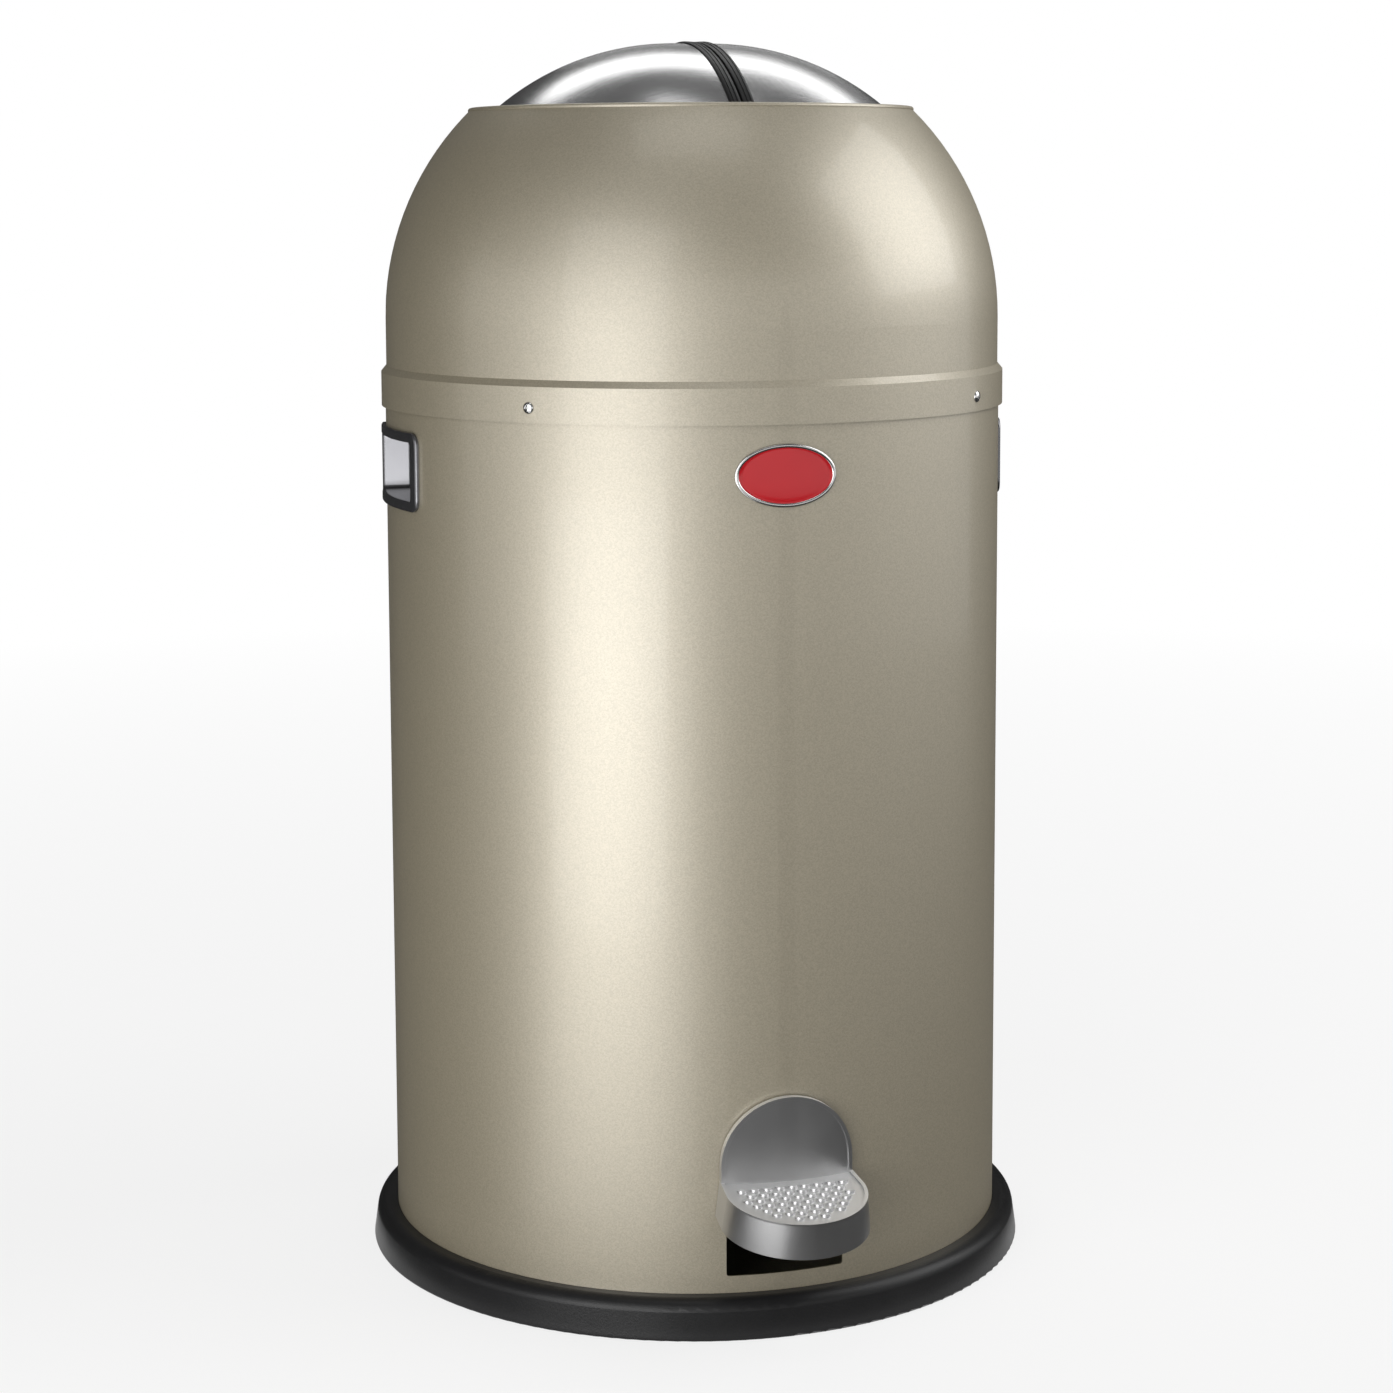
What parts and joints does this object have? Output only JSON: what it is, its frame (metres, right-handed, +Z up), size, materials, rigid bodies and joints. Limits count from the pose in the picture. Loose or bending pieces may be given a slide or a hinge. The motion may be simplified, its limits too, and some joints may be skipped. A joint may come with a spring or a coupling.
{
  "type": "kick pedal trash can",
  "caption": "Tall round pedal bin with a domed top, a split lid worked by a kick pedal, side grips, a hinged dome and a lift-out metal liner.",
  "frame": {"origin": "on the body's axis at the floor, under the base ring", "axes": "+Z up along the body's axis, the pedal faces -Y, +X to the right seen from the front"},
  "size_m": [0.3756, 0.4158, 0.6862],
  "materials": {
    "badge_enamel": "red enamel with a bright edge",
    "bail_grip": "black sleeve",
    "black_plastic": "fine grained black plastic",
    "body_coat": "champagne metallic powder coat, satin gloss",
    "cast_aluminium": "satin tumbled casting",
    "galvanised": "galvanised sheet with spangle",
    "grip_metal": "dark chromed moulding",
    "lid_steel": "brushed stainless steel",
    "nylon": "natural nylon",
    "rubber": "black rubber",
    "spring_steel": "oiled spring steel",
    "zinc_steel": "zinc plated steel"
  },
  "bodies": {
    "bin_body": {"base_ring": "black_plastic", "body_floor": "body_coat", "body_shell": "body_coat", "left_grip": "grip_metal", "right_grip": "grip_metal", "grip_nuts": "zinc_steel", "badge_plate": "badge_enamel", "lever_bracket": "zinc_steel", "bracket_screws": "zinc_steel", "lever_axle": "zinc_steel", "axle_clips": "zinc_steel", "lever_buffer": "rubber", "liner_stand": "zinc_steel", "lower_rod_guide": "zinc_steel", "upper_rod_guide": "zinc_steel", "return_spring": "spring_steel", "body_hinge_leaf": "zinc_steel", "body_hinge_screws": "zinc_steel", "hinge_pin": "zinc_steel", "liner": "galvanised", "liner_ears": "galvanised", "ear_rivets": "galvanised"},
    "pedal": {"pedal_casting": "cast_aluminium", "pedal_lever": "zinc_steel", "pedal_screws": "zinc_steel", "lever_pad": "nylon", "axle_bush": "nylon"},
    "rod": {"push_rod": "zinc_steel", "rod_foot": "nylon", "rod_cap": "nylon", "spring_collar": "zinc_steel"},
    "dome": {"dome_shell": "body_coat", "mounting_ring": "zinc_steel", "skirt_screws": "zinc_steel", "front_pivot_bracket": "zinc_steel", "rear_pivot_bracket": "zinc_steel", "bracket_rivets": "zinc_steel", "pivot_bushes": "nylon", "stem_bush": "nylon", "dome_hinge_leaf": "zinc_steel", "dome_hinge_screws": "zinc_steel"},
    "drive": {"drive_stem": "zinc_steel", "drive_pin": "zinc_steel"},
    "left_flap": {"left_flap_shell": "lid_steel", "left_flap_seal": "rubber", "left_front_plate": "zinc_steel", "left_rear_plate": "zinc_steel", "left_front_pin": "zinc_steel", "left_rear_shaft": "zinc_steel", "left_crank": "zinc_steel"},
    "right_flap": {"right_flap_shell": "lid_steel", "right_flap_seal": "rubber", "right_front_plate": "zinc_steel", "right_rear_plate": "zinc_steel", "right_front_pin": "zinc_steel", "right_rear_shaft": "zinc_steel", "right_crank": "zinc_steel"},
    "bail": {"liner_bail": "galvanised", "bail_grip": "bail_grip"}
  },
  "joints": [
    {"name": "pedal_press", "type": "hinge", "parent": "bin_body", "child": "pedal", "pos_m": [0, 0.061, 0.034], "axis": [1, 0, 0], "range_deg": [0, 5.99], "stiffness_Nm_per_rad": 30, "springref_deg": -11.46},
    {"name": "rod_slide", "type": "slide", "parent": "bin_body", "child": "rod", "axis": [0, 0, 1], "range_m": [0, 0.01064], "deforming": ["return_spring"]},
    {"name": "dome_tilt", "type": "hinge", "parent": "bin_body", "child": "dome", "pos_m": [0, 0.183, 0.483], "axis": [-1, 0, 0], "range_deg": [0, 95]},
    {"name": "drive_slide", "type": "slide", "parent": "dome", "child": "drive", "axis": [0, 0, 1], "range_m": [0, 0.01064]},
    {"name": "left_flap_swing", "type": "hinge", "parent": "dome", "child": "left_flap", "pos_m": [-0.0113, 0, 0.53201], "axis": [0, -1, 0], "range_deg": [0, 50.1]},
    {"name": "right_flap_swing", "type": "hinge", "parent": "dome", "child": "right_flap", "pos_m": [0.0113, 0, 0.53201], "axis": [0, 1, 0], "range_deg": [0, 50.1]},
    {"name": "bail_swing", "type": "hinge", "parent": "bin_body", "child": "bail", "pos_m": [0, 0, 0.4798], "axis": [-1, 0, 0], "range_deg": [0, 180]}
  ],
  "couplings": [
    {"joint": "rod_slide", "follows": "pedal_press", "m_per_rad": 0.10082},
    {"joint": "drive_slide", "follows": "pedal_press", "m_per_rad": 0.10082},
    {"joint": "left_flap_swing", "follows": "pedal_press", "ratio": 8.3483},
    {"joint": "right_flap_swing", "follows": "pedal_press", "ratio": 8.3483}
  ]
}
